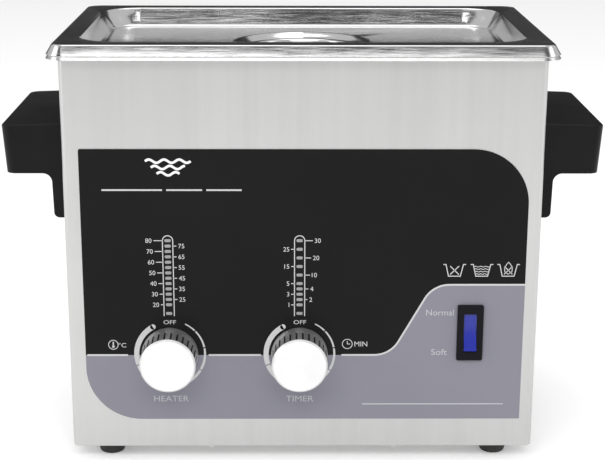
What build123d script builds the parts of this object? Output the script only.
from build123d import *
import math
import os

# Heated bench ultrasonic cleaner of the three-litre class, in millimetres, +Z up.
# The pan and lid are close to a gastronorm quarter-size pair, which is 265 x 162;
# here the lip measures 268 x 165. The origin is the bottom
# centre of the whole object; every piece is drawn about the casing's centre line
# and moved by FRAME_Y when it is written.

# ---------------------------------------------------------------- driving sizes
# Tank flange and casing
FLANGE_W = 268.0          # tank flange across its lip, left to right
FLANGE_D = 165.0          # tank flange across its lip, front to back
FLANGE_CORNER_R = 11.0
LIP_OVERHANG = 6.5        # lip stands this far outside the casing
CASE_H = 222.0            # casing height without feet or flange
CASE_SHEET = 0.8
CASE_EDGE_R = 3.5
CASE_TOP_RETURN = 2.6     # sheet folded inwards under the gasket
CASE_BOTTOM_RETURN = 6.5  # sheet folded inwards over which the base lies
BASE_SHEET = 1.0
FOOT_H = 8.0
FOOT_R = 8.0
FOOT_END_R = 6.6          # where it meets the floor
FOOT_BOSS_R = 6.5         # part that passes through the casing's return
FOOT_SCREW_R = 2.0
FOOT_HEAD_R = 3.9
FOOT_HEAD_H = 2.6
FOOT_NUT_AF = 7.0
FOOT_NUT_H = 3.2
FOOT_INSET_X = 20.0
FOOT_INSET_Y = 14.5
GASKET_T = 1.0
RUNNING = 0.05            # radial running clearance of shafts and trunnions
FREE = 0.3                # clearance between pieces that don't touch

# Tank
PAN_SHEET = 0.8
TANK_WALL_GAP = 6.2       # from the casing's outer face to the tank's inner wall
TANK_DEPTH = 100.0
TANK_CORNER_R = 24.0
TANK_BOTTOM_R = 10.0
TANK_TAPER_DEG = 2.5
LIP_SLOPE = 0.6           # run outwards per unit of drop
TANK_LIP_H = 6.7
PAN_EDGE_R = 1.5

# Lid
LID_SEAT_GAP = 0.1
LID_NEST_GAP = 0.2
LID_LIP_H = 5.4
LID_TANK_GAP = 2.0        # recess opening to tank wall
LID_RECESS_DEPTH = 10.5
LID_RECESS_INSET = 5.8    # the sloping wall runs in by this much
LID_CORNER_R = 22.0
LID_FLOOR_R = 3.0
DISH_R = 39.6
DISH_STEP = 3.0
DISH_LEDGE_R = 35.2
DISH_WALL_R = 32.6
DISH_DEPTH = 20.0
GRIP_BAR_R = 3.0
GRIP_BAR_SINK = 2.6       # bar top below the recess floor

# Handles
HANDLE_REACH = 36.4
HANDLE_L = 100.0
HANDLE_TOP = 177.8        # above the casing's lower edge
HANDLE_TOP_FALL = 1.2
HANDLE_BLOCK_H = 28.0
HANDLE_STEM_H = 25.0
HANDLE_STEM_T = 9.6
HANDLE_DRAFT = 1.9
HANDLE_WALL = 4.2
HANDLE_ROOT_R = 5.0
HANDLE_SCREW_PITCH = 60.0
HANDLE_SCREW_R = 2.0
HANDLE_HEAD_R = 3.8
HANDLE_HEAD_H = 2.4
INSERT_R = 3.4
INSERT_L = 7.0

# Front overlay and what shows through it; heights are above the casing's lower edge
OVERLAY_W = 238.4
OVERLAY_X = 0.7           # its middle, off the casing's
OVERLAY_T = 0.5
OVERLAY_LOW = 16.6
OVERLAY_HIGH = 169.3
OVERLAY_BIG_R = 30.0
OVERLAY_SMALL_R = 1.0
HEATER_X = -72.5
TIMER_X = -1.9
KNOB_Z = 54.8
WINDOW_W = 3.5
WINDOW_H = 1.8
WINDOW_GAP = 0.05
SCALE_OFF_Z = 78.2        # lowest window on both scales
HEATER_LOW_Z = 83.2       # window of 20 degrees
HEATER_STEP = 3.01        # window pitch for each 5 degrees
HEATER_WINDOWS = 13
TIMER_LOW_Z = 83.1       # window of 1 minute
TIMER_FINE_STEP = 3.03     # pitch for each minute up to 5
TIMER_FINE_WINDOWS = 5
TIMER_STEP = 4.82         # pitch for each 5 minutes from 5 up
TIMER_COARSE_WINDOWS = 5

# Knobs
KNOB_PROJECTION = 19.0
KNOB_BASE_R = 15.4
KNOB_FACE_R = 15.0
KNOB_CHAMFER = 0.9
KNOB_PLAIN_BAND = 6.0
KNOB_SLOTS = 28
KNOB_SLOT_W = 1.0
KNOB_SLOT_DEPTH = 0.7
KNOB_WALL = 2.2
KNOB_STAND_OFF = 0.5
SHAFT_R = 3.0
SHAFT_FLAT = 1.0          # depth of the D flat
BUSHING_L = 6.0           # past the casing's inner face
POT_R = 8.2
POT_NUT_AF = 11.0
POT_NUT_T = 2.0
HUB_WALL = 2.0            # brass round the shaft
HUB_STAND_OFF = 7.0       # hub's back to the overlay
BUSHING_WALL = 1.5

# Control board
BOARD_T = 1.6
CONTROL_BOARD_GAP = 10.4  # casing's inner face to the board's front
CONTROL_BOARD_MARGIN = 18.0   # past the two shafts, left and right
CONTROL_BOARD_DROP = 14.0     # below the shafts
LED_W = 2.0
LED_H = 1.4
LED_T = 1.6
LIGHT_BAR_W = 4.6
PILLAR_AF = 5.5
M3_R = 1.5
M3_HEAD_R = 2.8
M3_HEAD_H = 1.9
M3_NUT_H = 2.4

# Mode switch
SWITCH_X = 90.9
SWITCH_Z = 67.3
BEZEL_W = 14.2
BEZEL_H = 31.6
BEZEL_T = 2.0
SWITCH_BODY_W = 11.6
SWITCH_BODY_H = 28.4
SWITCH_BODY_L = 20.0
ROCKER_W = 6.7
ROCKER_H = 20.9
ROCKER_TILT_DEG = 20.0
ROCKER_PIVOT_SINK = 3.0
TRUNNION_R = 1.4
TRUNNION_L = 1.2
TERMINAL_PITCH = 8.0
BLADE_W = 4.8             # flat push-on terminals
BLADE_T = 0.8
BLADE_L = 8.0

# Mains inlet, on the rear wall
INLET_X = -78.0
INLET_Z = 46.0
INLET_FLANGE_W = 50.0
INLET_FLANGE_H = 36.0
INLET_FLANGE_T = 3.0
INLET_BODY_W = 30.0
INLET_BODY_H = 33.0
INLET_BODY_L = 24.0
SOCKET_W = 24.2
SOCKET_H = 16.4
SOCKET_DEPTH = 16.0
SOCKET_RISE = 6.0
INLET_SCREW_PITCH = 40.0
PIN_PITCH = 7.0
PIN_RISE = 2.0            # earth pin up, live and neutral down
PIN_T = 2.0
PIN_W = 4.0
PIN_L = 13.5
DRAWER_W = 25.0
DRAWER_H = 8.0
DRAWER_L = 22.0
DRAWER_DROP = 10.0
FUSE_R = 2.5
FUSE_L = 20.0
FUSE_CAP_L = 5.0
FUSE_SETBACK = 15.5       # behind the inlet's face

# Transducers
TRANSDUCER_X = 55.0
BOND_T = 0.3
FRONT_MASS_R = 22.5
FRONT_MASS_END_R = 19.0
FRONT_MASS_L = 25.0
PIEZO_R = 19.0
PIEZO_BORE_R = 7.5
PIEZO_T = 5.0
ELECTRODE_T = 0.3
REAR_MASS_L = 18.0
BOLT_R = 5.0
BOLT_HEAD_R = 8.0
BOLT_HEAD_H = 10.0
BOLT_BITE = 17.0

# Heater, generator and fan
PAD_W = 56.0
PAD_D = 110.0
PAD_T = 1.5
THERMOSTAT_INSET = 26.0   # from the tank's inner wall
THERMOSTAT_Y = 30.0
THERMOSTAT_R = 8.0
THERMOSTAT_H = 7.0
GENERATOR_W = 120.0
GENERATOR_D = 84.0
GENERATOR_X = -5.0
GENERATOR_PILLAR_H = 6.0
TRANSFORMER_SHIFT = -34.0 # from the middle of the generator board
TRANSFORMER_Y = -8.0
CORE_W = 40.0
CORE_D = 16.0
CORE_H = 34.0
CORE_LIMB = 10.0
CORE_YOKE = 8.0
COIL_BULGE = 8.0          # past the core, front and back
HEATSINK_SHIFT = 21.0
HEATSINK_Y = 14.0
HEATSINK_W = 56.0
HEATSINK_H = 34.0
HEATSINK_BACK_T = 4.0
HEATSINK_FIN_L = 18.0
HEATSINK_FIN_T = 2.0
HEATSINK_FINS = 7
TRANSISTOR_W = 16.0
TRANSISTOR_H = 20.0
TRANSISTOR_T = 5.0
TRANSISTOR_LEG = 8.0
CANS = 3
CAN_R = 8.0
CAN_H = 30.0
CAN_PITCH = 18.0
CAN_SHIFT = 6.0
CAN_Y = -28.0
RELAY_SHIFT = -45.0
RELAY_Y = 18.0
RELAY_W = 18.0
RELAY_D = 16.0
RELAY_H = 16.0
FAN_X = 70.0
FAN_Z = 50.0
FAN_SIZE = 60.0
FAN_T = 15.0
FAN_RIM = 1.6             # frame left outside the bore
FAN_HUB_R = 12.0
FAN_TIP_GAP = 0.7
FAN_BLADES = 7
FAN_SCREW_INSET = 5.0
FAN_SCREW_L = 12.0        # past the casing's inner face
FAN_AXLE_R = 1.5
GRILLE_SLOTS = 9
GRILLE_SLOT_W = 3.0
VENTS = 9                 # slots in the base below the generator board
VENT_PITCH = 9.0
VENT_L = 34.0
VENT_W = 3.0
LEAD_R = 1.2

# ---------------------------------------------------------------- derived planes
CASE_W = FLANGE_W - 2 * LIP_OVERHANG
CASE_D = FLANGE_D - 2 * LIP_OVERHANG
BASE_Z = FOOT_H
CASE_TOP = BASE_Z + CASE_H
FLANGE_LOW = CASE_TOP + GASKET_T
TANK_TOP = FLANGE_LOW + PAN_SHEET
LID_LOW = TANK_TOP + LID_SEAT_GAP
LID_TOP = LID_LOW + PAN_SHEET
LID_FLOOR = LID_TOP - LID_RECESS_DEPTH
TANK_W = CASE_W - 2 * TANK_WALL_GAP
TANK_D = CASE_D - 2 * TANK_WALL_GAP
TANK_FLOOR = TANK_TOP - TANK_DEPTH
TANK_UNDER = TANK_FLOOR - PAN_SHEET
FRONT = -CASE_D / 2
FRONT_IN = FRONT + CASE_SHEET
OVERLAY_FRONT = FRONT - OVERLAY_T
REAR = CASE_D / 2
REAR_IN = REAR - CASE_SHEET
SIDE = CASE_W / 2
BASE_TOP = BASE_Z + CASE_SHEET + BASE_SHEET
KNOB_FRONT = OVERLAY_FRONT - KNOB_PROJECTION
BOARD_FRONT = FRONT_IN + CONTROL_BOARD_GAP
BOARD_BACK = BOARD_FRONT + BOARD_T
FRAME_Y = (-KNOB_FRONT - FLANGE_D / 2) / 2
FOOT_PLACES = [(sx * (SIDE - FOOT_INSET_X), sy * (REAR - FOOT_INSET_Y))
               for sx in (-1, 1) for sy in (-1, 1)]
SCALE_X = (HEATER_X, TIMER_X)
HUB_R = SHAFT_R + HUB_WALL
BUSHING_R = SHAFT_R + BUSHING_WALL
CONTROL_BOARD_X = (HEATER_X - CONTROL_BOARD_MARGIN, TIMER_X + CONTROL_BOARD_MARGIN)
CONTROL_BOARD_LOW = BASE_Z + KNOB_Z - CONTROL_BOARD_DROP
CONTROL_BOARD_HIGH = TANK_UNDER - 1.5
ROCKER_PIVOT_Y = OVERLAY_FRONT - BEZEL_T + ROCKER_PIVOT_SINK
FRONT_MASS_TOP = TANK_UNDER - BOND_T
FRONT_MASS_LOW = FRONT_MASS_TOP - FRONT_MASS_L
STACK = PIEZO_T + ELECTRODE_T
REAR_MASS_TOP = FRONT_MASS_LOW - 2 * STACK
REAR_MASS_LOW = REAR_MASS_TOP - REAR_MASS_L
GENERATOR_Z = BASE_TOP + GENERATOR_PILLAR_H
GENERATOR_TOP = GENERATOR_Z + BOARD_T
TRANSFORMER_X = GENERATOR_X + TRANSFORMER_SHIFT
HEATSINK_X = GENERATOR_X + HEATSINK_SHIFT
CAN_X = GENERATOR_X + CAN_SHIFT
RELAY_X = GENERATOR_X + RELAY_SHIFT
FAN_BORE_R = FAN_SIZE / 2 - FAN_RIM
FAN_BLADE_R = FAN_BORE_R - FAN_TIP_GAP
FAN_AXIS_Z = BASE_Z + FAN_Z
FAN_FRONT = REAR_IN - FAN_T


# ---------------------------------------------------------------- helpers
def block(x0, x1, y0, y1, z0, z1):
    """A box given by its six faces."""
    centre = ((x0 + x1) / 2, (y0 + y1) / 2, (z0 + z1) / 2)
    return Pos(*centre) * Box(x1 - x0, y1 - y0, z1 - z0)


def rod_z(x, y, z0, z1, radius):
    return Pos(x, y, (z0 + z1) / 2) * Cylinder(radius, z1 - z0)


def rod_y(x, z, y0, y1, radius):
    return Pos(x, (y0 + y1) / 2, z) * Rot(90, 0, 0) * Cylinder(radius, y1 - y0)


def rod_x(y, z, x0, x1, radius):
    return Pos((x0 + x1) / 2, y, z) * Rot(0, 90, 0) * Cylinder(radius, x1 - x0)


def slab(w, d, radius, z0, z1):
    """A plate with rounded corners in plan."""
    return Pos(0, 0, z0) * extrude(RectangleRounded(w, d, radius), z1 - z0)


def frustum(w, d, radius, z_high, z_low, grow):
    """A rounded plate whose low face is larger by grow on every side."""
    high = Pos(0, 0, z_high) * RectangleRounded(w, d, radius)
    low = Pos(0, 0, z_low) * RectangleRounded(w + 2 * grow, d + 2 * grow, radius + grow)
    return loft([low, high], ruled=True)


def facing(y, x=0.0, z=0.0):
    """A sketch plane on the front, seen from in front: X right, Y up, normal to -Y."""
    return Plane(origin=(x, y, z), x_dir=(1, 0, 0), z_dir=(0, -1, 0))


def edges_at(solid, z, tolerance=0.01):
    return solid.edges().filter_by_position(Axis.Z, z - tolerance, z + tolerance)


def lead(points, radius, bend):
    """A wire: straight runs joined by arcs."""
    path = FilletPolyline(*points, radius=bend)
    start = Plane(origin=path @ 0, z_dir=path % 0)
    return sweep(start * Circle(radius), path=path)


def union(pieces):
    total = pieces[0]
    for piece in pieces[1:]:
        total = total + piece
    return total


def group(pieces):
    """Identical loose pieces that share one node."""
    return Compound([solid for piece in pieces for solid in piece.solids()])


# ---------------------------------------------------------------- casing and base
def grille_slots(y0, y1):
    cuts = []
    pitch = 2 * FAN_BORE_R / (GRILLE_SLOTS + 0.8)
    for i in range(GRILLE_SLOTS):
        dz = (i - (GRILLE_SLOTS - 1) / 2) * pitch
        half = math.sqrt(FAN_BORE_R ** 2 - dz ** 2) - GRILLE_SLOT_W / 2
        slot = facing(y1, FAN_X, BASE_Z + FAN_Z + dz) * SlotCenterToCenter(2 * half, GRILLE_SLOT_W)
        cuts.append(extrude(slot, y1 - y0))
    return cuts


def fan_screw_places():
    half = FAN_SIZE / 2 - FAN_SCREW_INSET
    return [(FAN_X + sx * half, BASE_Z + FAN_Z + sz * half) for sx in (-1, 1) for sz in (-1, 1)]


def handle_screw_places():
    z = BASE_Z + HANDLE_TOP - HANDLE_BLOCK_H - HANDLE_STEM_H / 2
    return [(sy * HANDLE_SCREW_PITCH / 2, z) for sy in (-1, 1)]


def light_slot():
    """Low and high z of the openings behind the two scales."""
    low = BASE_Z + SCALE_OFF_Z - WINDOW_H
    high = BASE_Z + HEATER_LOW_Z + (HEATER_WINDOWS - 1) * HEATER_STEP + WINDOW_H
    return low, high


def base_screw_places():
    y_row = REAR - CASE_SHEET - CASE_BOTTOM_RETURN / 2
    x_row = SIDE - CASE_SHEET - CASE_BOTTOM_RETURN / 2
    long_side = [(sx * CASE_W / 5, sy * y_row) for sx in (-1, 1) for sy in (-1, 1)]
    return long_side + [(sx * x_row, 0.0) for sx in (-1, 1)]


def make_casing_shell():
    outer = slab(CASE_W, CASE_D, CASE_EDGE_R, BASE_Z, CASE_TOP)
    outer = fillet(edges_at(outer, CASE_TOP) + edges_at(outer, BASE_Z), CASE_SHEET)
    inner = slab(CASE_W - 2 * CASE_SHEET, CASE_D - 2 * CASE_SHEET, CASE_EDGE_R - CASE_SHEET,
                 BASE_Z + CASE_SHEET, CASE_TOP - CASE_SHEET)
    top_in = 2 * (CASE_SHEET + CASE_TOP_RETURN)
    top_hole = slab(CASE_W - top_in, CASE_D - top_in, TANK_CORNER_R, CASE_TOP - 2, CASE_TOP + 1)
    low_in = 2 * (CASE_SHEET + CASE_BOTTOM_RETURN)
    low_hole = slab(CASE_W - low_in, CASE_D - low_in, CASE_EDGE_R, BASE_Z - 1, BASE_Z + 2)
    shell = outer - inner - top_hole - low_hole
    for x in SCALE_X:
        shell -= rod_y(x, BASE_Z + KNOB_Z, FRONT - 1, FRONT_IN + 1, BUSHING_R + FREE / 2)
        low, high = light_slot()
        half = LIGHT_BAR_W / 2 + FREE / 2
        shell -= block(x - half, x + half, FRONT - 1, FRONT_IN + 1, low - FREE / 2, high + FREE / 2)
    shell -= switch_cut(FRONT - 1, FRONT_IN + 1)
    half_w = INLET_BODY_W / 2 + FREE / 2
    half_h = INLET_BODY_H / 2 + FREE / 2
    inlet_z = BASE_Z + INLET_Z
    shell -= block(INLET_X - half_w, INLET_X + half_w, REAR_IN - 1, REAR + 1,
                   inlet_z - half_h, inlet_z + half_h)
    for sx in (-1, 1):
        x = INLET_X + sx * INLET_SCREW_PITCH / 2
        shell -= rod_y(x, inlet_z, REAR_IN - 1, REAR + 1, M3_R + FREE / 2)
    shell -= grille_slots(REAR_IN - 1, REAR + 1)
    for x, z in fan_screw_places():
        shell -= rod_y(x, z, REAR_IN - 1, REAR + 1, M3_R + FREE / 2)
    for y, z in handle_screw_places():
        shell -= rod_x(y, z, -SIDE - 1, SIDE + 1, HANDLE_SCREW_R + FREE / 2)
    for x, y in base_screw_places():
        shell -= rod_z(x, y, BASE_Z - 1, BASE_Z + 2, M3_R + FREE / 2)
    for x, y in FOOT_PLACES:
        shell -= rod_z(x, y, BASE_Z - 1, BASE_Z + CASE_SHEET + 0.1, FOOT_BOSS_R + FREE)
    return shell


def make_bottom_plate():
    gap = CASE_SHEET + FREE / 2
    plate = slab(CASE_W - 2 * gap, CASE_D - 2 * gap, CASE_EDGE_R, BASE_Z + CASE_SHEET, BASE_TOP)
    for x, y in FOOT_PLACES:
        plate -= rod_z(x, y, BASE_Z, BASE_TOP + 1, FOOT_SCREW_R + FREE / 2)
    for x, y in base_screw_places():
        plate -= rod_z(x, y, BASE_Z, BASE_TOP + 1, M3_R)
    for i in range(VENTS):
        x = GENERATOR_X + (i - (VENTS - 1) / 2) * VENT_PITCH
        plate -= Pos(x, 0, BASE_Z) * extrude(SlotOverall(VENT_L, VENT_W, rotation=90), BASE_TOP - BASE_Z + 1)
    return plate


def make_bottom_plate_screws():
    screws = []
    for x, y in base_screw_places():
        head = rod_z(x, y, BASE_Z - M3_HEAD_H, BASE_Z, M3_HEAD_R)
        head = fillet(edges_at(head, BASE_Z - M3_HEAD_H), 0.9)
        head -= block(x - 2, x + 2, y - 0.4, y + 0.4, BASE_Z - M3_HEAD_H - 1, BASE_Z - M3_HEAD_H + 0.8)
        screws.append(head + rod_z(x, y, BASE_Z, BASE_TOP + 3, M3_R))
    return group(screws)


def make_rubber_feet():
    top = BASE_Z + CASE_SHEET
    waist = FOOT_H * 0.55
    bore_r = FOOT_HEAD_R + 0.4
    feet = []
    for x, y in FOOT_PLACES:
        outline = Polyline((0, 0), (FOOT_END_R, 0), (FOOT_R, waist), (FOOT_R - 0.6, BASE_Z),
                           (FOOT_BOSS_R, BASE_Z), (FOOT_BOSS_R, top), (0, top), (0, 0))
        foot = revolve(Plane.XZ * make_face(outline), Axis.Z)
        foot = fillet(edges_at(foot, 0), 1.1)
        foot = fillet(edges_at(foot, waist), 1.6)
        foot = Pos(x, y, 0) * foot
        foot -= rod_z(x, y, -1, FOOT_H / 2, bore_r)
        foot -= rod_z(x, y, -1, top + 1, FOOT_SCREW_R)
        feet.append(foot)
    return group(feet)


def make_foot_screws():
    screws = []
    for x, y in FOOT_PLACES:
        head_top = FOOT_H / 2
        head = rod_z(x, y, head_top - FOOT_HEAD_H, head_top, FOOT_HEAD_R)
        head = fillet(edges_at(head, head_top - FOOT_HEAD_H), 1.1)
        screws.append(head + rod_z(x, y, head_top, BASE_TOP + FOOT_NUT_H + 2, FOOT_SCREW_R))
    return group(screws)


def make_foot_nuts():
    nuts = []
    for x, y in FOOT_PLACES:
        hexagon = Pos(x, y, BASE_TOP) * extrude(RegularPolygon(FOOT_NUT_AF / 2, 6, major_radius=False),
                                                FOOT_NUT_H)
        nuts.append(hexagon - rod_z(x, y, BASE_TOP - 1, BASE_TOP + FOOT_NUT_H + 1, FOOT_SCREW_R))
    return group(nuts)


# ---------------------------------------------------------------- tank, gasket, lid
def lip_reach(sheet_offset):
    """How far a parallel sheet stands outside the tank lip's line, measured level."""
    return sheet_offset * math.hypot(1.0, LIP_SLOPE)


def pan_lip(half_growth, z_top, z_low, edge_r):
    """The flange plate with its flared lip. half_growth is the level offset from the tank's."""
    drop = z_top - z_low
    top_inset = 2 * ((z_top - (TANK_TOP - TANK_LIP_H)) * LIP_SLOPE - half_growth)
    w = FLANGE_W - top_inset
    d = FLANGE_D - top_inset
    r = FLANGE_CORNER_R - top_inset / 2
    outer = frustum(w, d, r, z_top, z_low, drop * LIP_SLOPE)
    outer = fillet(edges_at(outer, z_top), edge_r)
    shrink = lip_reach(PAN_SHEET) - PAN_SHEET * LIP_SLOPE
    inner = frustum(w - 2 * shrink, d - 2 * shrink, r - shrink, z_top - PAN_SHEET, z_low,
                    (drop - PAN_SHEET) * LIP_SLOPE)
    inner = fillet(edges_at(inner, z_top - PAN_SHEET), edge_r - PAN_SHEET + 0.1)
    return outer - inner


def pan_tub(w, d, radius, z_top, depth, inset, floor_r):
    """Inside of a pressed hollow that narrows by inset on the way down."""
    high = Pos(0, 0, z_top) * RectangleRounded(w, d, radius)
    low = Pos(0, 0, z_top - depth) * RectangleRounded(w - 2 * inset, d - 2 * inset, radius - inset)
    tub = loft([low, high], ruled=True)
    return fillet(edges_at(tub, z_top - depth), floor_r)


def make_tank():
    inset = TANK_DEPTH * math.tan(math.radians(TANK_TAPER_DEG))
    lip = pan_lip(0.0, TANK_TOP, TANK_TOP - TANK_LIP_H, PAN_EDGE_R)
    inner = pan_tub(TANK_W, TANK_D, TANK_CORNER_R, TANK_TOP, TANK_DEPTH, inset, TANK_BOTTOM_R)
    outer = pan_tub(TANK_W + 2 * PAN_SHEET, TANK_D + 2 * PAN_SHEET, TANK_CORNER_R + PAN_SHEET, TANK_TOP,
                    TANK_DEPTH + PAN_SHEET, inset, TANK_BOTTOM_R + PAN_SHEET)
    tank = lip + outer - inner
    rim = edges_at(tank, TANK_TOP).filter_by(lambda e: abs(e.center().X) < TANK_W / 2 + 0.1
                                             and abs(e.center().Y) < TANK_D / 2 + 0.1)
    return fillet(rim, PAN_EDGE_R)


def make_tank_gasket():
    inside = TANK_WALL_GAP - PAN_SHEET - 1.0
    outer = slab(CASE_W - 2, CASE_D - 2, CASE_EDGE_R, CASE_TOP, FLANGE_LOW)
    inner = slab(CASE_W - 2 * inside, CASE_D - 2 * inside, TANK_CORNER_R, CASE_TOP - 1, FLANGE_LOW + 1)
    return outer - inner


def dish_shell():
    """The round well in the lid's floor, as one pressed skin."""
    mid = PAN_SHEET / 2
    line = FilletPolyline((DISH_R + 1.6, -mid), (DISH_R, -mid), (DISH_LEDGE_R, -DISH_STEP - mid),
                          (DISH_WALL_R, -DISH_STEP - mid), (DISH_WALL_R - 1.0, -DISH_DEPTH * 0.65),
                          (DISH_WALL_R - 8.6, -DISH_DEPTH - mid), (0, -DISH_DEPTH - mid),
                          radius=[1.2, 1.2, 1.0, 5.0, 6.0])
    skin = Plane.XZ * trace(line, line_width=PAN_SHEET)
    skin -= Plane.XZ * Pos(-5, -DISH_DEPTH - mid) * Rectangle(10, 4)
    return Pos(0, 0, LID_FLOOR) * revolve(skin, Axis.Z)


def make_lid_pan():
    w = TANK_W - 2 * LID_TANK_GAP
    d = TANK_D - 2 * LID_TANK_GAP
    nest = lip_reach(PAN_SHEET + LID_NEST_GAP)
    lip = pan_lip(nest, LID_TOP, LID_TOP - LID_LIP_H, PAN_EDGE_R)
    level = PAN_SHEET * math.hypot(1.0, LID_RECESS_INSET / LID_RECESS_DEPTH)
    deeper = LID_RECESS_INSET * (1 + PAN_SHEET / LID_RECESS_DEPTH)
    inner = pan_tub(w, d, LID_CORNER_R, LID_TOP, LID_RECESS_DEPTH, LID_RECESS_INSET, LID_FLOOR_R)
    outer = pan_tub(w + 2 * level, d + 2 * level, LID_CORNER_R + level, LID_TOP,
                    LID_RECESS_DEPTH + PAN_SHEET, deeper, LID_FLOOR_R + PAN_SHEET)
    lid = lip + outer - inner
    rim = edges_at(lid, LID_TOP).filter_by(lambda e: abs(e.center().X) < w / 2 + 0.1
                                           and abs(e.center().Y) < d / 2 + 0.1)
    lid = fillet(rim, PAN_EDGE_R)
    lid -= rod_z(0, 0, LID_FLOOR - 5, LID_FLOOR + 1, DISH_R + 0.4)
    return lid + dish_shell()


def make_lid_grip_bar():
    z = LID_FLOOR - GRIP_BAR_SINK - GRIP_BAR_R
    end = DISH_WALL_R - 0.6
    return rod_x(0, z, -end, end, GRIP_BAR_R) - dish_shell()


# ---------------------------------------------------------------- handles
def make_right_handle():
    top = BASE_Z + HANDLE_TOP
    low = top - HANDLE_BLOCK_H
    stem_low = low - HANDLE_STEM_H
    reach = SIDE + HANDLE_REACH
    stem = SIDE + HANDLE_STEM_T
    half = HANDLE_L / 2
    outline = Polyline((SIDE, top), (reach, top - HANDLE_TOP_FALL), (reach - HANDLE_DRAFT, low),
                       (stem, low), (stem - 0.6, stem_low), (SIDE, stem_low), (SIDE, top))
    face = Plane.XZ.offset(-half) * make_face(outline)
    body = extrude(face, HANDLE_L)
    upright = body.edges().filter_by(lambda e: e.center().X > reach - 2 and abs(e.center().Y) > half - 1)
    body = fillet(upright, 5.5)
    root = body.edges().filter_by(Axis.Y).filter_by_position(Axis.X, stem - 0.1, stem + 0.1)
    body = fillet(root, HANDLE_ROOT_R)
    tip = body.edges().filter_by(Axis.Y).filter_by_position(Axis.Z, stem_low - 0.1, stem_low + 0.1)
    body = fillet(tip.sort_by(Axis.X)[-1:], 3.0)
    hollow = block(stem + 0.6, reach - HANDLE_DRAFT - HANDLE_WALL, -half + HANDLE_WALL, half - HANDLE_WALL,
                   low - 1, top - HANDLE_TOP_FALL - HANDLE_WALL)
    roof = top - HANDLE_TOP_FALL - HANDLE_WALL
    hollow = fillet(hollow.edges().filter_by(Axis.Z) + edges_at(hollow, roof), 3.0)
    body -= hollow
    soft = body.edges().filter_by_position(Axis.X, SIDE + 1, reach + 1).filter_by_position(
        Axis.Z, top - HANDLE_TOP_FALL - 0.01, top + 0.01)
    body = fillet(soft, 1.2)
    for y, z in handle_screw_places():
        body -= rod_x(y, z, SIDE - 1, SIDE + INSERT_L, INSERT_R)
    return body


def make_handle_inserts():
    inserts = []
    for sx in (-1, 1):
        for y, z in handle_screw_places():
            low, high = sorted((sx * SIDE, sx * (SIDE + INSERT_L)))
            bore = rod_x(y, z, low - 1, high + 1, HANDLE_SCREW_R)
            inserts.append(rod_x(y, z, low, high, INSERT_R) - bore)
    return group(inserts)


def make_handle_screws():
    screws = []
    inner = SIDE - CASE_SHEET
    for sx in (-1, 1):
        for y, z in handle_screw_places():
            shank = rod_x(y, z, *sorted((sx * inner, sx * (SIDE + INSERT_L - 1))), HANDLE_SCREW_R)
            tip = sx * (inner - HANDLE_HEAD_H)
            head = rod_x(y, z, *sorted((sx * inner, tip)), HANDLE_HEAD_R)
            head = fillet(head.edges().filter_by_position(Axis.X, tip - 0.01, tip + 0.01), 1.0)
            screws.append(head + shank)
    return group(screws)


# ---------------------------------------------------------------- front overlay, scales, board
def heater_window_heights():
    return [SCALE_OFF_Z] + [HEATER_LOW_Z + i * HEATER_STEP for i in range(HEATER_WINDOWS)]


def timer_window_heights():
    fine = [TIMER_LOW_Z + i * TIMER_FINE_STEP for i in range(TIMER_FINE_WINDOWS)]
    coarse = [fine[-1] + (i + 1) * TIMER_STEP for i in range(TIMER_COARSE_WINDOWS)]
    return [SCALE_OFF_Z] + fine + coarse


def scale_windows():
    """Every window as (x, z above the casing's lower edge)."""
    left = [(HEATER_X, z) for z in heater_window_heights()]
    return left + [(TIMER_X, z) for z in timer_window_heights()]


def switch_cut(y0, y1):
    half_w = SWITCH_BODY_W / 2 + FREE / 2
    half_h = SWITCH_BODY_H / 2 + FREE / 2
    z = BASE_Z + SWITCH_Z
    return block(SWITCH_X - half_w, SWITCH_X + half_w, y0, y1, z - half_h, z + half_h)


def make_front_overlay():
    z = BASE_Z + (OVERLAY_LOW + OVERLAY_HIGH) / 2
    sheet = facing(FRONT, OVERLAY_X, z) * Rectangle(OVERLAY_W, OVERLAY_HIGH - OVERLAY_LOW)
    big = sheet.vertices().filter_by(lambda v: (v.X - OVERLAY_X) * (v.Z - z) > 0)
    sheet = fillet(big, OVERLAY_BIG_R)
    small = sheet.vertices().filter_by(lambda v: (v.X - OVERLAY_X) * (v.Z - z) < 0
                                       and abs(v.X - OVERLAY_X) > OVERLAY_W / 2 - 0.1
                                       and abs(v.Z - z) > (OVERLAY_HIGH - OVERLAY_LOW) / 2 - 0.1)
    sheet = fillet(small, OVERLAY_SMALL_R)
    plate = extrude(sheet, OVERLAY_T)
    for x in SCALE_X:
        plate -= rod_y(x, BASE_Z + KNOB_Z, OVERLAY_FRONT - 1, FRONT + 1, BUSHING_R + FREE / 2)
    for x, height in scale_windows():
        outline = RectangleRounded(WINDOW_W, WINDOW_H, WINDOW_H / 2 - 0.1)
        window = facing(FRONT + 1, x, BASE_Z + height) * outline
        plate -= extrude(window, OVERLAY_T + 2)
    return plate - switch_cut(OVERLAY_FRONT - 1, FRONT + 1)


def make_scale_light_bars():
    bars = []
    for x, heights in ((HEATER_X, heater_window_heights()), (TIMER_X, timer_window_heights())):
        low, high = light_slot()
        half = LIGHT_BAR_W / 2
        bar = block(x - half, x + half, FRONT, BOARD_FRONT - LED_T - FREE / 2, low, high)
        for height in heights:
            lens = facing(FRONT, x, BASE_Z + height) * RectangleRounded(
                WINDOW_W - 2 * WINDOW_GAP, WINDOW_H - 2 * WINDOW_GAP, WINDOW_H / 2 - 0.1 - WINDOW_GAP)
            bar += extrude(lens, OVERLAY_T)
        bars.append(bar)
    return group(bars)


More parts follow.
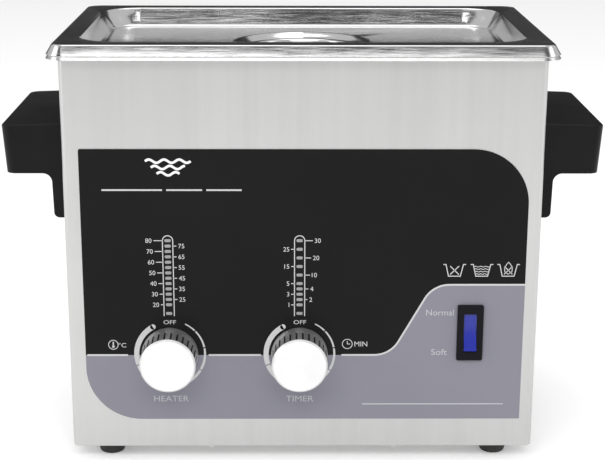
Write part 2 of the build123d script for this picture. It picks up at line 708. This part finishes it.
def make_scale_leds():
    leds = []
    for x, height in scale_windows():
        z = BASE_Z + height
        leds.append(block(x - LED_W / 2, x + LED_W / 2, BOARD_FRONT - LED_T, BOARD_FRONT,
                          z - LED_H / 2, z + LED_H / 2))
    return group(leds)


def control_screw_places():
    x0, x1 = CONTROL_BOARD_X
    inset = 4.5
    xs = (x0 + inset, x1 - inset)
    zs = (CONTROL_BOARD_LOW + inset, CONTROL_BOARD_HIGH - inset)
    return [(x, z) for x in xs for z in zs]


def make_control_board():
    x0, x1 = CONTROL_BOARD_X
    board = block(x0, x1, BOARD_FRONT, BOARD_BACK, CONTROL_BOARD_LOW, CONTROL_BOARD_HIGH)
    for x, z in control_screw_places():
        board -= rod_y(x, z, BOARD_FRONT - 1, BOARD_BACK + 1, M3_R + FREE / 2)
    return board


def make_control_board_pillars():
    pillars = []
    for x, z in control_screw_places():
        hexagon = facing(BOARD_FRONT, x, z) * RegularPolygon(PILLAR_AF / 2, 6, major_radius=False)
        thread = rod_y(x, z, BOARD_FRONT - 6, BOARD_FRONT + 1, M3_R)
        pillars.append(extrude(hexagon, CONTROL_BOARD_GAP) - thread)
    return group(pillars)


def generator_screw_places():
    dx = GENERATOR_W / 2 - 5
    dy = GENERATOR_D / 2 - 5
    return [(GENERATOR_X + sx * dx, sy * dy) for sx in (-1, 1) for sy in (-1, 1)]


def make_board_screws():
    screws = []
    for x, z in control_screw_places():
        head = rod_y(x, z, BOARD_BACK, BOARD_BACK + M3_HEAD_H, M3_HEAD_R)
        screws.append(head + rod_y(x, z, BOARD_FRONT - 4, BOARD_BACK, M3_R))
    for x, y in generator_screw_places():
        head = rod_z(x, y, GENERATOR_TOP, GENERATOR_TOP + M3_HEAD_H, M3_HEAD_R)
        screws.append(head + rod_z(x, y, GENERATOR_Z - 4, GENERATOR_TOP, M3_R))
    return group(screws)


# ---------------------------------------------------------------- potentiometers and knobs
def pot_shaft(x):
    """D shaft of one potentiometer, from inside its body to the knob."""
    z = BASE_Z + KNOB_Z
    tip = KNOB_FRONT + 3.0
    shaft = rod_y(x, z, tip, FRONT_IN + 6.0, SHAFT_R)
    wide = SHAFT_R + 1
    flat = block(x - wide, x + wide, tip - 1, OVERLAY_FRONT - HUB_STAND_OFF,
                 z + SHAFT_R - SHAFT_FLAT, z + wide)
    return shaft - flat


def make_pot_bodies():
    pots = []
    for x in SCALE_X:
        z = BASE_Z + KNOB_Z
        tab_row = block(x - POT_R, x + POT_R, FRONT_IN, BOARD_FRONT, z - POT_R - 2.5, z)
        body = rod_y(x, z, FRONT_IN, BOARD_FRONT, POT_R) + tab_row
        body += rod_y(x, z, FRONT_IN - BUSHING_L, FRONT_IN, BUSHING_R)
        bore = rod_y(x, z, FRONT_IN - BUSHING_L - 1, FRONT_IN + 6.0 + FREE, SHAFT_R + RUNNING)
        pots.append(body - bore)
    return group(pots)


def make_pot_nuts():
    nuts = []
    for x in SCALE_X:
        z = BASE_Z + KNOB_Z
        hexagon = facing(OVERLAY_FRONT, x, z) * RegularPolygon(POT_NUT_AF / 2, 6, major_radius=False)
        bore = rod_y(x, z, OVERLAY_FRONT - 5, OVERLAY_FRONT + 1, BUSHING_R)
        nuts.append(extrude(hexagon, POT_NUT_T) - bore)
    return group(nuts)


def knob_hub(x):
    """Brass hub pressed on the shaft, and round which the cap is moulded."""
    z = BASE_Z + KNOB_Z
    back = OVERLAY_FRONT - HUB_STAND_OFF
    hub = rod_y(x, z, KNOB_FRONT + 2.2, back, HUB_R)
    return hub - pot_shaft(x)


def knob_cap(x):
    z = BASE_Z + KNOB_Z
    back = OVERLAY_FRONT - KNOB_STAND_OFF
    length = back - KNOB_FRONT
    outline = Polyline((0, 0), (KNOB_BASE_R, 0), (KNOB_FACE_R, length - KNOB_CHAMFER),
                       (KNOB_FACE_R - KNOB_CHAMFER, length), (0, length), (0, 0))
    cap = revolve(Plane.XZ * make_face(outline), Axis.Z)
    cavity = Pos(0, 0, 3.5) * Cylinder(KNOB_BASE_R - KNOB_WALL, 7.0)
    cap -= cavity
    slot_high = length - KNOB_CHAMFER - 0.6
    for i in range(KNOB_SLOTS):
        slot = Pos(KNOB_BASE_R, 0, (KNOB_PLAIN_BAND + slot_high) / 2) * Box(
            2 * KNOB_SLOT_DEPTH, KNOB_SLOT_W, slot_high - KNOB_PLAIN_BAND)
        cap -= Rot(0, 0, (i + 0.5) * 360.0 / KNOB_SLOTS) * slot
    cap = Pos(x, back, z) * Rot(90, 0, 0) * cap
    return cap - rod_y(x, z, KNOB_FRONT + 2.2, back + 1, HUB_R)


# ---------------------------------------------------------------- mode switch
def make_mode_switch_housing():
    z = BASE_Z + SWITCH_Z
    bezel_front = OVERLAY_FRONT - BEZEL_T
    bezel = extrude(facing(OVERLAY_FRONT, SWITCH_X, z) * RectangleRounded(BEZEL_W, BEZEL_H, 1.0), BEZEL_T)
    bezel = fillet(bezel.edges().filter_by_position(Axis.Y, bezel_front - 0.01, bezel_front + 0.01), 0.6)
    body = block(SWITCH_X - SWITCH_BODY_W / 2, SWITCH_X + SWITCH_BODY_W / 2, OVERLAY_FRONT,
                 OVERLAY_FRONT + SWITCH_BODY_L, z - SWITCH_BODY_H / 2, z + SWITCH_BODY_H / 2)
    well_w = ROCKER_W / 2 + FREE
    well_h = ROCKER_H / 2 + 1.5 * FREE
    well = block(SWITCH_X - well_w, SWITCH_X + well_w, bezel_front - 1, ROCKER_PIVOT_Y + 8,
                 z - well_h, z + well_h)
    sockets = rod_x(ROCKER_PIVOT_Y, z, SWITCH_X - ROCKER_W / 2 - TRUNNION_L - FREE,
                    SWITCH_X + ROCKER_W / 2 + TRUNNION_L + FREE, TRUNNION_R + RUNNING)
    return bezel + body - well - sockets


def make_mode_rocker():
    """Drawn level, then tilted so that its upper end is pressed in."""
    half = ROCKER_H / 2
    outline = Polyline((-2.0, 0), (-3.6, half - 0.25), (-2.4, half), (3.5, half - 2.2), (5.5, half - 6),
                       (5.5, 6 - half), (3.5, 2.2 - half), (-2.4, -half), (-3.6, 0.25 - half), (-2.0, 0))
    body = extrude(Plane.YZ * make_face(outline), ROCKER_W / 2, both=True)
    body += rod_x(0, 0, -ROCKER_W / 2 - TRUNNION_L, ROCKER_W / 2 + TRUNNION_L, TRUNNION_R)
    return Pos(SWITCH_X, ROCKER_PIVOT_Y, BASE_Z + SWITCH_Z) * Rot(-ROCKER_TILT_DEG / 2, 0, 0) * body


def make_mode_switch_terminals():
    blades = []
    back = OVERLAY_FRONT + SWITCH_BODY_L
    for step in (-1, 0, 1):
        z = BASE_Z + SWITCH_Z + step * TERMINAL_PITCH
        blades.append(block(SWITCH_X - BLADE_W / 2, SWITCH_X + BLADE_W / 2, back, back + BLADE_L,
                            z - BLADE_T / 2, z + BLADE_T / 2))
    return group(blades)


# ---------------------------------------------------------------- mains inlet
def drawer_box(grow=0.0):
    z = BASE_Z + INLET_Z - DRAWER_DROP
    back = REAR + INLET_FLANGE_T - DRAWER_L
    half = DRAWER_W / 2 + grow
    return block(INLET_X - half, INLET_X + half, back - grow, REAR + INLET_FLANGE_T + grow,
                 z - DRAWER_H / 2 - grow, z + DRAWER_H / 2 + grow)


def inlet_screw_rods(y0, y1, radius):
    z = BASE_Z + INLET_Z
    return [rod_y(INLET_X + sx * INLET_SCREW_PITCH / 2, z, y0, y1, radius) for sx in (-1, 1)]


def make_inlet_housing():
    z = BASE_Z + INLET_Z
    face = REAR + INLET_FLANGE_T
    flange = extrude(facing(face, INLET_X, z) * RectangleRounded(INLET_FLANGE_W, INLET_FLANGE_H, 6.0),
                     INLET_FLANGE_T)
    body = block(INLET_X - INLET_BODY_W / 2, INLET_X + INLET_BODY_W / 2, REAR - INLET_BODY_L, REAR,
                 z - INLET_BODY_H / 2, z + INLET_BODY_H / 2)
    socket_sketch = facing(face + 1, INLET_X, z + SOCKET_RISE) * Rectangle(SOCKET_W, SOCKET_H)
    top_corners = socket_sketch.vertices().filter_by(lambda v: v.Z > z + SOCKET_RISE)
    socket = extrude(chamfer(top_corners, 4.0), SOCKET_DEPTH + 1)
    housing = flange + body - socket - drawer_box(FREE)
    return housing - inlet_screw_rods(REAR - 1, face + 1, M3_R + FREE / 2)


def make_inlet_pins():
    pins = []
    floor = REAR + INLET_FLANGE_T - SOCKET_DEPTH
    z = BASE_Z + INLET_Z + SOCKET_RISE
    tail = REAR - INLET_BODY_L
    for step, dz in ((-1, -PIN_RISE), (0, PIN_RISE), (1, -PIN_RISE)):
        x = INLET_X + step * PIN_PITCH
        pins.append(block(x - PIN_T / 2, x + PIN_T / 2, floor, floor + PIN_L,
                          z + dz - PIN_W / 2, z + dz + PIN_W / 2))
        pins.append(block(x - BLADE_T / 2, x + BLADE_T / 2, tail - BLADE_L, tail,
                          z + dz - BLADE_W / 2, z + dz + BLADE_W / 2))
    return group(pins)


def make_inlet_screws():
    screws = []
    z = BASE_Z + INLET_Z
    face = REAR + INLET_FLANGE_T
    for sx in (-1, 1):
        x = INLET_X + sx * INLET_SCREW_PITCH / 2
        head = rod_y(x, z, face, face + M3_HEAD_H, M3_HEAD_R)
        crown = face + M3_HEAD_H
        head = fillet(head.edges().filter_by_position(Axis.Y, crown - 0.01, crown + 0.01), 0.9)
        nut = facing(REAR_IN, x, z) * RegularPolygon(PILLAR_AF / 2, 6, major_radius=False)
        screws.append(head + rod_y(x, z, REAR_IN - 5, face, M3_R) + extrude(nut, M3_NUT_H))
    return group(screws)


def make_fuse_drawer():
    z = BASE_Z + INLET_Z - DRAWER_DROP
    face = REAR + INLET_FLANGE_T
    drawer = drawer_box()
    half_l = FUSE_L / 2 + FREE
    half_w = FUSE_R + 1.0
    pocket = block(INLET_X - half_l, INLET_X + half_l, face - FUSE_SETBACK - half_w,
                   face - FUSE_SETBACK + half_w, z - FUSE_R - FREE, z + DRAWER_H)
    finger_slot = block(INLET_X - 5, INLET_X + 5, face - 1.0, face + 1, z - 3.0, z - 1.6)
    return drawer - pocket - finger_slot


def make_fuse():
    z = BASE_Z + INLET_Z - DRAWER_DROP
    y = REAR + INLET_FLANGE_T - FUSE_SETBACK
    half = FUSE_L / 2
    cap = FUSE_CAP_L
    tube = rod_x(y, z, INLET_X - half + cap, INLET_X + half - cap, FUSE_R - 0.2)
    caps = [rod_x(y, z, INLET_X - half, INLET_X - half + cap, FUSE_R),
            rod_x(y, z, INLET_X + half - cap, INLET_X + half, FUSE_R)]
    return group([tube] + caps)


# ---------------------------------------------------------------- transducers and heater
def both_transducers(make_one):
    return group([make_one(sx * TRANSDUCER_X) for sx in (-1, 1)])


def bond_layer(x):
    return rod_z(x, 0, FRONT_MASS_TOP, TANK_UNDER, FRONT_MASS_R - 0.5)


def front_mass(x):
    cone = Pos(x, 0, FRONT_MASS_LOW + FRONT_MASS_L / 2) * Cone(FRONT_MASS_END_R, FRONT_MASS_R, FRONT_MASS_L)
    return cone - rod_z(x, 0, FRONT_MASS_LOW - 1, FRONT_MASS_LOW + BOLT_BITE, BOLT_R)


def ring(x, z_top, thickness):
    bore = rod_z(x, 0, z_top - thickness - 1, z_top + 1, PIEZO_BORE_R)
    return rod_z(x, 0, z_top - thickness, z_top, PIEZO_R) - bore


def piezo_pair(x):
    return group([ring(x, FRONT_MASS_LOW - i * STACK, PIEZO_T) for i in range(2)])


def electrode_pair(x):
    discs = []
    for i in range(2):
        z_top = FRONT_MASS_LOW - PIEZO_T - i * STACK
        reach = PIEZO_R + 8
        tab = block(x - 3 + 8 * i, x + 3 + 8 * i, 0, reach, z_top - ELECTRODE_T, z_top)
        disc = rod_z(x, 0, z_top - ELECTRODE_T, z_top, PIEZO_R) + tab
        discs.append(disc - rod_z(x, 0, z_top - 2, z_top + 1, PIEZO_BORE_R))
    return group(discs)


def rear_mass(x):
    mass = rod_z(x, 0, REAR_MASS_LOW, REAR_MASS_TOP, PIEZO_R)
    mass = chamfer(edges_at(mass, REAR_MASS_LOW), 1.0)
    return mass - rod_z(x, 0, REAR_MASS_LOW - 1, REAR_MASS_TOP + 1, BOLT_R + FREE)


def prestress_bolt(x):
    head = rod_z(x, 0, REAR_MASS_LOW - BOLT_HEAD_H, REAR_MASS_LOW, BOLT_HEAD_R)
    socket = Pos(x, 0, REAR_MASS_LOW - BOLT_HEAD_H - 1) * extrude(RegularPolygon(4, 6, major_radius=False), 6)
    return head + rod_z(x, 0, REAR_MASS_LOW, FRONT_MASS_LOW + BOLT_BITE, BOLT_R) - socket


def make_heating_pad():
    return slab(PAD_W, PAD_D, 4.0, TANK_UNDER - PAD_T, TANK_UNDER)


def make_overheat_thermostat():
    x = TANK_W / 2 - THERMOSTAT_INSET
    y = THERMOSTAT_Y
    low = TANK_UNDER - THERMOSTAT_H
    disc = rod_z(x, y, low, TANK_UNDER, THERMOSTAT_R)
    tabs = []
    for sx in (-1, 1):
        tab_x = x + sx * THERMOSTAT_R / 2
        tabs.append(block(tab_x - BLADE_T / 2, tab_x + BLADE_T / 2, y - BLADE_W / 2, y + BLADE_W / 2,
                          low - BLADE_L, low))
    return union([disc] + tabs)


# ---------------------------------------------------------------- generator board
def make_generator_board():
    board = Pos(GENERATOR_X, 0, 0) * slab(GENERATOR_W, GENERATOR_D, 2.0, GENERATOR_Z, GENERATOR_TOP)
    for x, y in generator_screw_places():
        board -= rod_z(x, y, GENERATOR_Z - 1, GENERATOR_TOP + 1, M3_R + FREE / 2)
    return board


def make_generator_pillars():
    pillars = []
    for x, y in generator_screw_places():
        hexagon = Pos(x, y, BASE_TOP) * extrude(RegularPolygon(PILLAR_AF / 2, 6, major_radius=False),
                                                GENERATOR_PILLAR_H)
        pillars.append(hexagon - rod_z(x, y, GENERATOR_Z - 5, GENERATOR_Z + 1, M3_R))
    return group(pillars)


def make_transformer_core():
    """Ferrite E pair: two outer limbs, a middle limb and two yokes."""
    x, y, z = TRANSFORMER_X, TRANSFORMER_Y, GENERATOR_TOP
    core = block(x - CORE_W / 2, x + CORE_W / 2, y - CORE_D / 2, y + CORE_D / 2, z, z + CORE_H)
    limb = CORE_LIMB / 2
    for side in (-1, 1):
        a, b = sorted((x + side * (limb + 1), x + side * (CORE_W / 2 - limb)))
        core -= block(a, b, y - CORE_D, y + CORE_D, z + CORE_YOKE, z + CORE_H - CORE_YOKE)
    return core


def make_transformer_coil():
    x, y, z = TRANSFORMER_X, TRANSFORMER_Y, GENERATOR_TOP + CORE_H / 2
    gap = 0.2
    half = CORE_LIMB / 2 + 1
    inner_d = CORE_D / 2
    outer_d = inner_d + COIL_BULGE
    reach = CORE_W / 2 - CORE_LIMB / 2 - gap
    tall = CORE_H / 2 - CORE_YOKE - gap
    wound = block(x - reach, x + reach, y - outer_d, y + outer_d, z - tall, z + tall)
    wound = fillet(wound.edges().filter_by(Axis.Z), 6.0)
    return wound - block(x - half - gap, x + half + gap, y - inner_d - gap, y + inner_d + gap,
                         z - CORE_H, z + CORE_H)


def make_heatsink():
    x, y, z = HEATSINK_X, HEATSINK_Y, GENERATOR_TOP
    back = y + HEATSINK_BACK_T
    half_t = HEATSINK_FIN_T / 2
    sink = block(x - HEATSINK_W / 2, x + HEATSINK_W / 2, y, back, z, z + HEATSINK_H)
    for i in range(HEATSINK_FINS):
        along = i * (HEATSINK_W - HEATSINK_FIN_T) / (HEATSINK_FINS - 1)
        fin_x = x - HEATSINK_W / 2 + half_t + along
        sink += block(fin_x - half_t, fin_x + half_t, back, back + HEATSINK_FIN_L, z, z + HEATSINK_H)
    return sink


def make_power_transistors():
    pieces = []
    for sx in (-1, 1):
        x = HEATSINK_X + sx * HEATSINK_W / 4
        z = GENERATOR_TOP
        body = block(x - TRANSISTOR_W / 2, x + TRANSISTOR_W / 2, HEATSINK_Y - TRANSISTOR_T, HEATSINK_Y,
                     z + TRANSISTOR_LEG, z + TRANSISTOR_LEG + TRANSISTOR_H)
        legs = [block(x + k * 5 - 0.6, x + k * 5 + 0.6, HEATSINK_Y - 3, HEATSINK_Y - 2, z, z + TRANSISTOR_LEG)
                for k in (-1, 0, 1)]
        pieces.append(union([body] + legs))
    return group(pieces)


def make_capacitors():
    cans = []
    top = GENERATOR_TOP + CAN_H
    for k in range(CANS):
        can = rod_z(CAN_X + CAN_PITCH * k, CAN_Y, GENERATOR_TOP, top, CAN_R)
        cans.append(fillet(edges_at(can, top), 1.0))
    return group(cans)


def make_relay():
    top = GENERATOR_TOP + RELAY_H
    box = block(RELAY_X - RELAY_W / 2, RELAY_X + RELAY_W / 2, RELAY_Y - RELAY_D / 2, RELAY_Y + RELAY_D / 2,
                GENERATOR_TOP, top)
    return fillet(edges_at(box, top), 0.8)


# ---------------------------------------------------------------- fan
def make_fan_frame():
    half = FAN_SIZE / 2
    frame = block(FAN_X - half, FAN_X + half, FAN_FRONT, REAR_IN, FAN_AXIS_Z - half, FAN_AXIS_Z + half)
    frame = fillet(frame.edges().filter_by(Axis.Y), 4.0)
    frame -= rod_y(FAN_X, FAN_AXIS_Z, FAN_FRONT - 1, REAR_IN + 1, FAN_BORE_R)
    hub = rod_y(FAN_X, FAN_AXIS_Z, FAN_FRONT, FAN_FRONT + 2, FAN_HUB_R)
    for angle in (45, 135):
        bar = Pos(FAN_X, FAN_FRONT + 1, FAN_AXIS_Z) * Rot(0, angle, 0) * Box(2 * FAN_BORE_R + 2, 2, 3)
        hub += bar
    hub += rod_y(FAN_X, FAN_AXIS_Z, FAN_FRONT, FAN_FRONT + 7, 4.0)
    frame += hub
    frame -= rod_y(FAN_X, FAN_AXIS_Z, FAN_FRONT + 1, REAR_IN, FAN_AXLE_R + RUNNING)
    for x, z in fan_screw_places():
        frame -= rod_y(x, z, FAN_FRONT - 1, REAR_IN + 1, M3_R)
    return frame


def make_fan_rotor():
    back = FAN_FRONT + 2.6
    front = REAR_IN - 1.2
    rotor = rod_y(FAN_X, FAN_AXIS_Z, back, front, FAN_HUB_R)
    rotor -= rod_y(FAN_X, FAN_AXIS_Z, back - 1, front - 2, 5.0)
    rotor += rod_y(FAN_X, FAN_AXIS_Z, FAN_FRONT + 1.5, front, FAN_AXLE_R)
    width = front - back - 1.0
    centre = (back + front) / 2
    for i in range(FAN_BLADES):
        blade = Pos((FAN_HUB_R + FAN_BLADE_R - 0.6) / 2 - 0.3, 0, 0) * Rot(32, 0, 0) * Box(
            FAN_BLADE_R - FAN_HUB_R - 0.2, width, 1.4)
        turn = Pos(FAN_X, centre, FAN_AXIS_Z) * Rot(0, i * 360.0 / FAN_BLADES, 0)
        rotor += turn * blade
    return rotor


def make_fan_screws():
    screws = []
    for x, z in fan_screw_places():
        head = rod_y(x, z, REAR, REAR + M3_HEAD_H, M3_HEAD_R)
        crown = REAR + M3_HEAD_H
        head = fillet(head.edges().filter_by_position(Axis.Y, crown - 0.01, crown + 0.01), 0.9)
        screws.append(head + rod_y(x, z, REAR_IN - FAN_SCREW_L, REAR, M3_R))
    return group(screws)


# ---------------------------------------------------------------- leads inside the casing
def make_mains_leads():
    leads = []
    tail_y = REAR - INLET_BODY_L - BLADE_L
    z = BASE_Z + INLET_Z + SOCKET_RISE - PIN_RISE
    for k, side in enumerate((-1, 1)):
        x = INLET_X + side * PIN_PITCH
        drop_y = tail_y - 6 - 5 * k
        leads.append(lead([(x, tail_y, z), (x, drop_y, z), (x, drop_y, GENERATOR_TOP + 5 + 4 * k),
                           (GENERATOR_X - 50 - 3 * k, drop_y, GENERATOR_TOP + 5 + 4 * k),
                           (GENERATOR_X - 50 - 3 * k, drop_y, GENERATOR_TOP)], LEAD_R, 1.9))
    return group(leads)


def make_earth_lead():
    x = INLET_X
    z = BASE_Z + INLET_Z + SOCKET_RISE + PIN_RISE
    tail_y = REAR - INLET_BODY_L - BLADE_L
    return lead([(x, tail_y, z), (x, tail_y - 24, z), (x, tail_y - 24, BASE_TOP)], LEAD_R, 6.0)


def make_transducer_leads():
    leads = []
    for sx in (-1, 1):
        x = sx * TRANSDUCER_X
        z = FRONT_MASS_LOW - PIEZO_T - ELECTRODE_T
        y = PIEZO_R + 6.0
        end_x = GENERATOR_X + sx * 8.0
        low = REAR_MASS_LOW - 6.0
        end_y = 4.0
        leads.append(lead([(x, y, z), (x, y, low), (end_x, end_y, low), (end_x, end_y, GENERATOR_TOP)],
                          LEAD_R, 5.0))
    return group(leads)


def make_control_ribbon():
    """Flat cable from the control board's back down to the generator board."""
    x = TIMER_X - 20.0
    y = BOARD_BACK
    z = CONTROL_BOARD_LOW + 12.0
    end_y = -GENERATOR_D / 2 + 4.0
    path = FilletPolyline((x, y, z), (x, y + 14.0, z), (x, y + 14.0, GENERATOR_TOP + 14),
                          (x, end_y, GENERATOR_TOP + 14), (x, end_y, GENERATOR_TOP), radius=1.6)
    section = Plane(origin=path @ 0, x_dir=(1, 0, 0), z_dir=path % 0) * Rectangle(20, 1.0)
    return sweep(section, path=path)


# ---------------------------------------------------------------- write every node
def build_nodes():
    right_handle = make_right_handle()
    nodes = {
        "casing_shell": make_casing_shell(),
        "bottom_plate": make_bottom_plate(),
        "bottom_plate_screws": make_bottom_plate_screws(),
        "rubber_feet": make_rubber_feet(),
        "foot_screws": make_foot_screws(),
        "foot_nuts": make_foot_nuts(),
        "tank": make_tank(),
        "tank_gasket": make_tank_gasket(),
        "lid_pan": make_lid_pan(),
        "lid_grip_bar": make_lid_grip_bar(),
        "left_handle": mirror(right_handle, Plane.YZ),
        "right_handle": right_handle,
        "handle_inserts": make_handle_inserts(),
        "handle_screws": make_handle_screws(),
        "front_overlay": make_front_overlay(),
        "scale_light_bars": make_scale_light_bars(),
        "scale_leds": make_scale_leds(),
        "control_board": make_control_board(),
        "control_board_pillars": make_control_board_pillars(),
        "board_screws": make_board_screws(),
        "pot_bodies": make_pot_bodies(),
        "pot_nuts": make_pot_nuts(),
        "mode_switch_housing": make_mode_switch_housing(),
        "mode_rocker": make_mode_rocker(),
        "mode_switch_terminals": make_mode_switch_terminals(),
        "inlet_housing": make_inlet_housing(),
        "inlet_pins": make_inlet_pins(),
        "inlet_screws": make_inlet_screws(),
        "fuse_drawer": make_fuse_drawer(),
        "fuse": make_fuse(),
        "bond_layers": both_transducers(bond_layer),
        "transducer_front_masses": both_transducers(front_mass),
        "piezo_rings": both_transducers(piezo_pair),
        "electrodes": both_transducers(electrode_pair),
        "transducer_rear_masses": both_transducers(rear_mass),
        "prestress_bolts": both_transducers(prestress_bolt),
        "heating_pad": make_heating_pad(),
        "overheat_thermostat": make_overheat_thermostat(),
        "generator_board": make_generator_board(),
        "generator_pillars": make_generator_pillars(),
        "transformer_core": make_transformer_core(),
        "transformer_coil": make_transformer_coil(),
        "heatsink": make_heatsink(),
        "power_transistors": make_power_transistors(),
        "capacitors": make_capacitors(),
        "relay": make_relay(),
        "fan_frame": make_fan_frame(),
        "fan_rotor": make_fan_rotor(),
        "fan_screws": make_fan_screws(),
        "mains_leads": make_mains_leads(),
        "earth_lead": make_earth_lead(),
        "transducer_leads": make_transducer_leads(),
        "control_ribbon": make_control_ribbon(),
    }
    for side, x in (("heater", HEATER_X), ("timer", TIMER_X)):
        nodes[side + "_shaft"] = pot_shaft(x)
        nodes[side + "_knob_hub"] = knob_hub(x)
        nodes[side + "_knob"] = knob_cap(x)
    return nodes


os.makedirs("parts", exist_ok=True)
for name, shape in build_nodes().items():
    placed = [Pos(0, FRAME_Y, 0) * solid for solid in shape.solids()]
    node = placed[0] if len(placed) == 1 else Compound(placed)
    export_step(node, os.path.join("parts", name + ".step"))
print("written about y =", round(FRAME_Y, 3))
